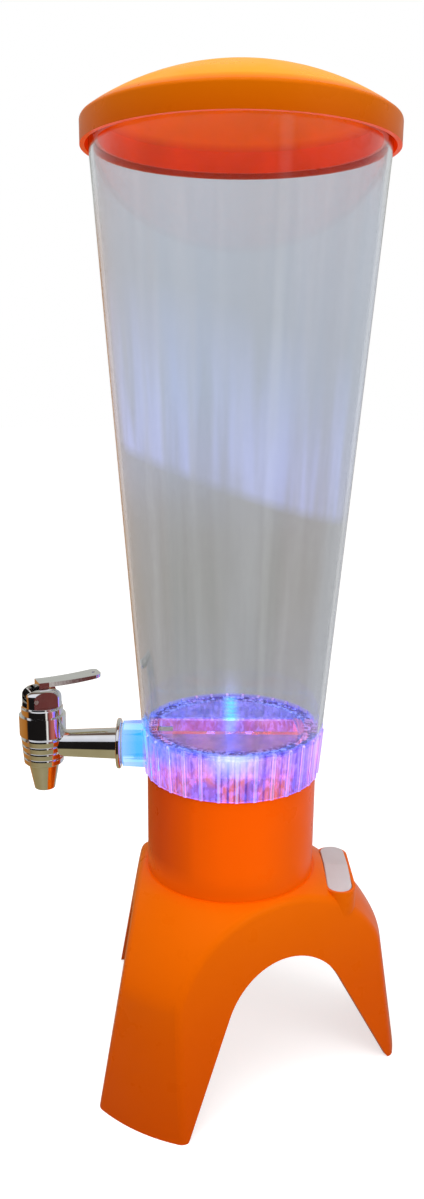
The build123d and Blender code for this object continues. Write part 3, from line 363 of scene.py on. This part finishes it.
def clear_floor():
    """Container floor: painted glow stands in for the lamp light that spreads blue through the plate and
    orange and pink along the trough.
    """
    shader = Shader("clear_floor", Transmission_Weight=1.0, IOR=1.35, Roughness=0.06)
    x, y, z = (shader.axis(letter) for letter in "XYZ")
    radius = shader.math("SQRT", shader.math("ADD", shader.times(x, x), shader.times(y, y)))
    rim = shader.spread(radius, 0.0385, 0.0430)
    specks = shader.spread(shader.noise(460, 2, (1, 1, 0.5)), 0.47, 0.56)
    tint = shader.ramp(shader.noise(40, 2), (0.3, (0.40, 0.38, 0.66)), (0.7, (0.52, 0.46, 0.70)))
    dark = shader.times(rim, shader.spread(specks, 0.0, 1.0, 0.9, 0.0))
    shader.colour(shader.mix(dark, tint, (0.05, 0.05, 0.20)))

    # plate: violet behind the trough, greyer before it, a dashed ring at the rim
    blotch = shader.noise(110, 3, (1, 1, 0.4))
    back = shader.mix(shader.spread(blotch, 0.40, 0.62), (0.10, 0.13, 0.52), (0.22, 0.20, 0.60))
    near = shader.mix(shader.spread(blotch, 0.40, 0.62), (0.11, 0.11, 0.27), (0.24, 0.17, 0.27))
    plate = shader.mix(shader.spread(y, -0.012, -0.010), near, back)
    ring = shader.mix(specks, (0.01, 0.015, 0.16), (0.22, 0.32, 0.95))
    glow = shader.mix(rim, plate, ring)

    # cyan beam with rungs, from the middle to the back
    span = shader.distance(x)
    beam = shader.times(shader.spread(span, 0.001, 0.006, 1.0, 0.0), shader.spread(y, -0.002, 0.004))
    rungs = shader.spread(shader.math("SINE", shader.times(y, 900.0)), -0.2, 0.5, 0.55, 1.0)
    beam = shader.times(beam, rungs)
    glow = shader.mix(beam, glow, (0.02, 0.46, 1.0))

    in_trough = shader.times(
        shader.spread(z, floor_high.z - 0.0012, floor_high.z - 0.0006, 1.0, 0.0),
        shader.spread(shader.distance(y), 0.0113, 0.0116, 1.0, 0.0),
    )
    warm = shader.mix(shader.spread(shader.noise(60, 1), 0.42, 0.6), (1.0, 0.22, 0.08), (0.95, 0.15, 0.22))
    warm = shader.mix(shader.spread(span, 0.002, 0.011, 0.8, 0.0), warm, (0.30, 0.22, 0.95))
    shader.link(shader.mix(in_trough, glow, warm), shader.surface.inputs["Emission Color"])
    level = shader.spread(shader.noise(90, 3), 0.3, 0.7, 0.50, 0.85)
    level = shader.math("ADD", level, shader.times(beam, 0.7))
    shader.link(level, shader.surface.inputs["Emission Strength"])
    shader.bump(shader.noise(120, 2), 0.0003, 0.3)
    return shader.material


def chrome():
    """Bright plating with faint swirls and dulled patches."""
    shader = Shader("chrome_plate", Metallic=1.0)
    shader.colour(shader.ramp(shader.noise(90, 3), (0.3, (0.78, 0.77, 0.75)), (0.7, (0.85, 0.85, 0.86))))
    shader.rough(shader.noise(150, 4), 0.03, 0.09)
    shader.bump(shader.noise(320, 2), 0.00003, 0.35)
    return shader.material


def white_plastic():
    shader = Shader("white_plastic", Specular_IOR_Level=0.5)
    shader.colour(shader.ramp(shader.noise(70, 3), (0.3, (0.60, 0.58, 0.60)), (0.7, (0.66, 0.65, 0.68))))
    shader.rough(shader.noise(200, 3), 0.30, 0.42)
    shader.bump(shader.noise(3000, 1), 0.00003, 0.4)
    return shader.material


def plain(name, first, second, scale, low, high, grain=0.00004, **sockets):
    """Two close tones by noise, roughness between low and high, fine grain."""
    shader = Shader(name, **sockets)
    shader.colour(shader.ramp(shader.noise(scale, 3), (0.35, first), (0.65, second)))
    shader.rough(shader.noise(scale * 1.7, 3), low, high)
    shader.bump(shader.noise(scale * 12, 2), grain, 0.5)
    return shader.material


def lamp(name, colour, strength):
    shader = Shader(name, Roughness=0.15)
    shader.surface.inputs["Base Color"].default_value = (0.8, 0.85, 1.0, 1)
    shader.link(
        shader.ramp(shader.noise(300, 2), (0.4, colour), (0.6, tuple(min(1, c * 1.2) for c in colour))),
        shader.surface.inputs["Emission Color"],
    )
    shader.surface.inputs["Emission Strength"].default_value = strength
    return shader.material


def dress(material, *names):
    for name in names:
        for slot in nodes[name].material_slots:
            slot.material = material


def dress_nodes():
    dress(orange_base(), "base_shell")
    dress(orange_lid(), "lid")
    dress(
        plain("orange_under", (0.72, 0.11, 0.0), (0.78, 0.14, 0.0), 50, 0.4, 0.55),
        "base_cover", "battery_door",
    )
    dress(clear_wall(), "container_tube")
    dress(clear_floor(), "container_floor")
    dress(chrome(), "tap_body", "tap_flange", "tap_bonnet", "tap_lever", "tap_nut")
    dress(white_plastic(), "switch_rocker")
    dress(
        plain("silicone", (0.62, 0.62, 0.60), (0.70, 0.70, 0.68), 120, 0.55, 0.7),
        "tap_washer_outer", "tap_washer_inner", "tap_seal",
    )
    dress(
        plain("steel", (0.50, 0.50, 0.50), (0.62, 0.62, 0.63), 260, 0.22, 0.38, Metallic=1.0),
        "tap_plunger", "tap_spring", "lever_pin", "plunger_pin", "board_screws", "cover_screws",
        "door_screw", "battery_springs", "battery_plates",
    )
    dress(plain("board", (0.01, 0.10, 0.04), (0.02, 0.14, 0.05), 140, 0.35, 0.5), "led_board")
    dress(plain("black_plastic", (0.012, 0.012, 0.013), (0.02, 0.02, 0.02), 160, 0.4, 0.55), "switch_body")
    dress(plain("cell_sleeve", (0.02, 0.022, 0.028), (0.035, 0.037, 0.045), 90, 0.25, 0.35), "batteries")
    lens = Shader("lens_plastic", Transmission_Weight=1.0, IOR=1.4, Roughness=0.18)
    lens.colour(lens.ramp(lens.noise(160, 2), (0.3, (0.85, 0.85, 1.0)), (0.7, (1.0, 0.92, 1.0))))
    lens.bump(lens.noise(400, 1), 0.0002, 0.4)
    dress(lens.material, "led_lens")
    dress(lamp("led_glow", (0.25, 0.35, 1.0), 8.0), "leds")


# ------------------------------------------------------------------ studio
def set_world():
    """White behind the object, soft white for plain surfaces, a banded room for polished ones."""
    world = bpy.data.worlds.new("studio")
    bpy.context.scene.world = world
    world.use_nodes = True
    tree = world.node_tree
    tree.nodes.clear()

    def add(kind, **settings):
        node = tree.nodes.new(kind)
        for key, value in settings.items():
            setattr(node, key, value)
        return node

    def ramp(source, *stops):
        node = add("ShaderNodeValToRGB")
        elements = node.color_ramp.elements
        while len(elements) < len(stops):
            elements.new(0.5)
        for element, (position, colour) in zip(elements, stops):
            element.position = position
            element.color = (*colour, 1)
        tree.links.new(source, node.inputs[0])
        return node.outputs[0]

    def background(colour, strength):
        node = add("ShaderNodeBackground")
        node.inputs["Strength"].default_value = strength
        if isinstance(colour, tuple):
            node.inputs["Color"].default_value = (*colour, 1)
        else:
            tree.links.new(colour, node.inputs["Color"])
        return node.outputs[0]

    def choose(factor, first, second):
        node = add("ShaderNodeMixShader")
        tree.links.new(factor, node.inputs[0])
        tree.links.new(first, node.inputs[1])
        tree.links.new(second, node.inputs[2])
        return node.outputs[0]

    def math(operation, first, second):
        node = add("ShaderNodeMath", operation=operation)
        for slot, value in zip(node.inputs, (first, second)):
            if isinstance(value, (int, float)):
                slot.default_value = value
            else:
                tree.links.new(value, slot)
        return node.outputs[0]

    direction = add("ShaderNodeSeparateXYZ")
    tree.links.new(add("ShaderNodeTexCoord").outputs["Generated"], direction.inputs[0])
    x, y, z = direction.outputs
    azimuth = math("ADD", math("DIVIDE", math("ARCTAN2", y, x), 2 * pi), 0.5)
    walls = ramp(
        azimuth,
        (0.0, (0.45, 0.17, 0.03)),
        (0.035, (0.40, 0.14, 0.02)),
        (0.06, (0.010, 0.009, 0.009)),
        (0.320, (0.012, 0.010, 0.010)),
        (0.330, (0.95, 0.93, 0.90)),
        (0.345, (0.95, 0.93, 0.90)),
        (0.355, (0.10, 0.03, 0.03)),
        (0.40, (0.50, 0.13, 0.11)),
        (0.50, (0.42, 0.20, 0.22)),
        (0.56, (0.42, 0.47, 0.58)),
        (0.70, (0.52, 0.54, 0.58)),
        (0.78, (0.50, 0.25, 0.08)),
        (1.0, (0.45, 0.17, 0.03)),
    )
    ceiling = ramp(
        math("ADD", math("MULTIPLY", y, 0.5), 0.5),
        (0.0, (0.60, 0.63, 0.72)),
        (0.30, (0.88, 0.90, 0.97)),
        (0.42, (0.80, 0.80, 0.84)),
        (0.47, (0.12, 0.08, 0.06)),
        (0.60, (0.16, 0.11, 0.08)),
        (0.68, (0.42, 0.42, 0.38)),
        (1.0, (0.52, 0.53, 0.50)),
    )
    table = ramp(
        math("ADD", math("MULTIPLY", x, 0.5), 0.5),
        (0.0, (0.30, 0.22, 0.09)),
        (0.4, (0.36, 0.31, 0.17)),
        (1.0, (0.30, 0.26, 0.14)),
    )

    def blend(factor, first, second):
        node = add("ShaderNodeMix", data_type="RGBA")
        tree.links.new(factor, node.inputs[0])
        tree.links.new(first, node.inputs[6])
        tree.links.new(second, node.inputs[7])
        return node.outputs[2]

    above = math("ADD", z, math("MULTIPLY", math("MINIMUM", y, 0.0), 0.48))
    room = blend(ramp(above, (0.08, (0, 0, 0)), (0.14, (1, 1, 1))), walls, ceiling)
    room = blend(ramp(math("ADD", z, 1.0), (0.46, (1, 1, 1)), (0.52, (0, 0, 0))), room, table)
    paths = add("ShaderNodeLightPath")
    seen = math("MAXIMUM", paths.outputs["Is Camera Ray"], paths.outputs["Is Transmission Ray"])
    soft = background((1.0, 0.99, 0.97), 0.62)
    shiny = background(room, 1.0)
    white = background((1.0, 1.0, 1.0), 1.0)
    surface = choose(seen, choose(paths.outputs["Is Glossy Ray"], soft, shiny), white)
    tree.links.new(surface, add("ShaderNodeOutputWorld").inputs["Surface"])


def add_area_light(name, place, target, size, power, colour=(1, 1, 1)):
    data = bpy.data.lights.new(name, "AREA")
    data.size = size
    data.energy = power
    data.color = colour
    light = bpy.data.objects.new(name, data)
    light.location = place
    light.rotation_euler = (Vector(target) - Vector(place)).to_track_quat("-Z", "Y").to_euler()
    light.visible_glossy = False
    light.visible_transmission = False
    bpy.context.scene.collection.objects.link(light)


def add_point_light(name, place, radius, power, colour):
    data = bpy.data.lights.new(name, "POINT")
    data.shadow_soft_size = radius
    data.energy = power
    data.color = colour
    light = bpy.data.objects.new(name, data)
    light.location = place
    light.visible_camera = False
    light.visible_glossy = False
    light.visible_transmission = False
    bpy.context.scene.collection.objects.link(light)


def add_lights():
    add_area_light("overhead", (-0.15, -0.35, 1.5), (0, 0, 0.2), 1.0, 11)
    add_area_light("side", (1.1, -0.9, 0.7), (0, 0, 0.2), 0.7, 5)
    above_lens = lens_high.z + 0.004
    add_point_light("lamp_blue", (-0.008, -0.004, above_lens), 0.004, 0.03, (0.2, 0.4, 1.0))
    add_point_light("lamp_pink", (0.012, -0.01, above_lens), 0.004, 0.03, (1.0, 0.25, 0.6))


def add_floor():
    """Pale floor, wide and plain; it looks white and keeps a soft shadow."""
    mesh = bpy.data.meshes.new("floor")
    half = 6.0
    seen_glow = 0.64  # brings the lit floor up to white for the camera
    corners = [(-half, -half, 0), (half, -half, 0), (half, half, 0), (-half, half, 0)]
    mesh.from_pydata(corners, [], [(0, 1, 2, 3)])
    floor = bpy.data.objects.new("floor", mesh)
    bpy.context.scene.collection.objects.link(floor)
    shader = Shader("pale_floor", Roughness=0.8, Specular_IOR_Level=0.1)
    shader.colour(shader.ramp(shader.noise(3, 2), (0.3, (0.60, 0.60, 0.60)), (0.7, (0.62, 0.62, 0.62))))
    paths = shader.add("ShaderNodeLightPath")
    shader.surface.inputs["Emission Color"].default_value = (1, 1, 1, 1)
    level = shader.times(paths.outputs["Is Camera Ray"], seen_glow)
    shader.link(level, shader.surface.inputs["Emission Strength"])
    white = shader.add("ShaderNodeEmission")
    through = shader.add("ShaderNodeMixShader")
    shader.link(paths.outputs["Is Transmission Ray"], through.inputs[0])
    shader.link(shader.surface.outputs[0], through.inputs[1])
    shader.link(white.outputs[0], through.inputs[2])
    shader.link(through.outputs[0], shader.output.inputs["Surface"])
    mesh.materials.append(shader.material)
    floor.visible_glossy = False


add_camera()
dress_nodes()
set_world()
add_lights()
add_floor()
bpy.context.scene.view_settings.view_transform = "Standard"
